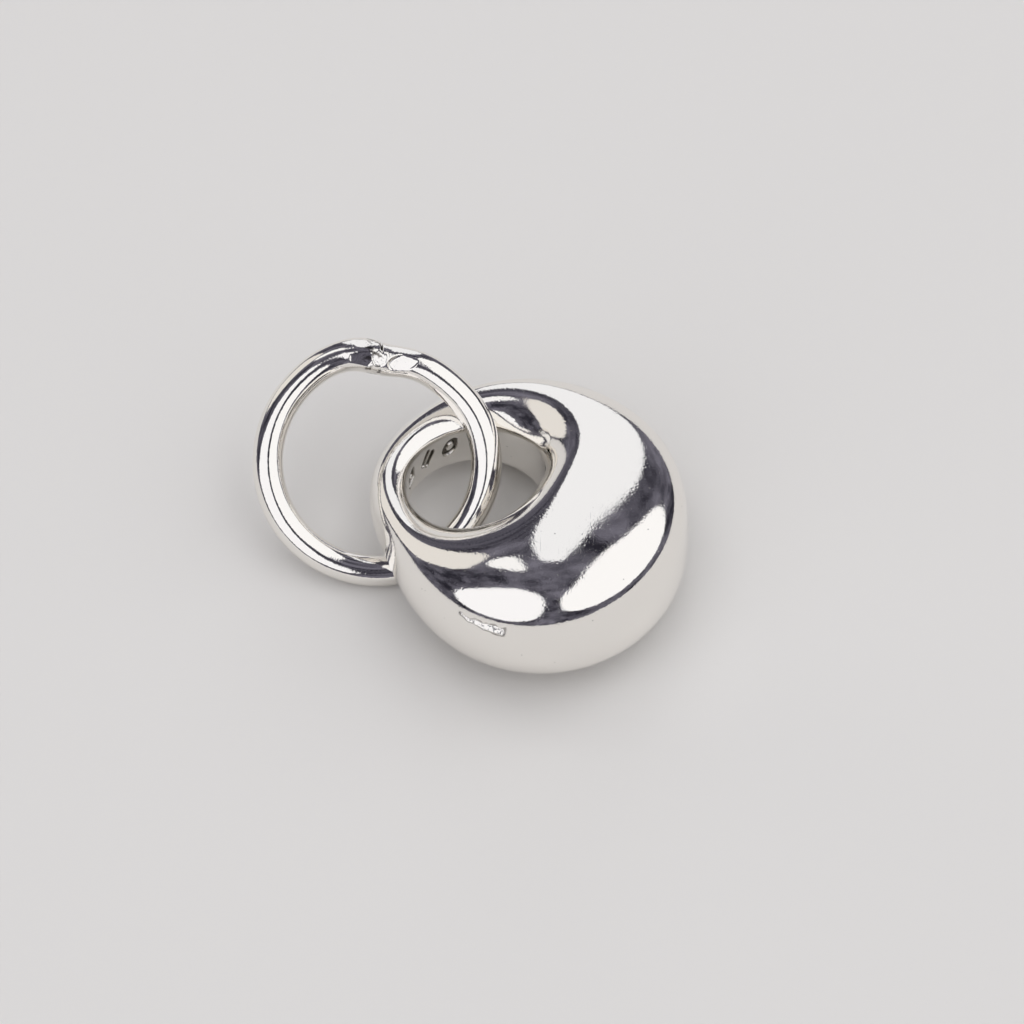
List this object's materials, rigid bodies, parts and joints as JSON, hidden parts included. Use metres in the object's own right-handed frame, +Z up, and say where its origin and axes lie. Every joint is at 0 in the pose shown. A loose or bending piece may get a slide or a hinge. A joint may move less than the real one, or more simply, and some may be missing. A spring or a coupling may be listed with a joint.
{
  "type": "ball charm on a jump ring",
  "caption": "Polished silver pebble-shaped drop with an off-centre drilled hole, threaded on a round wire jump ring and lying on a surface.",
  "frame": {"origin": "on the surface that the charm lies on, under the middle of the whole charm", "axes": "+X from the jump ring to the ball, as the charm lies in the picture from left to right; +Y away from the picture's camera; +Z up from the surface"},
  "size_m": [0.014, 0.0112, 0.0051],
  "materials": {
    "polished_silver": "mirror-polished silver",
    "silver_wire": "polished silver wire"
  },
  "bodies": {
    "root": {"ball_drop": "polished_silver", "jump_ring": "silver_wire"}
  },
  "joints": []
}
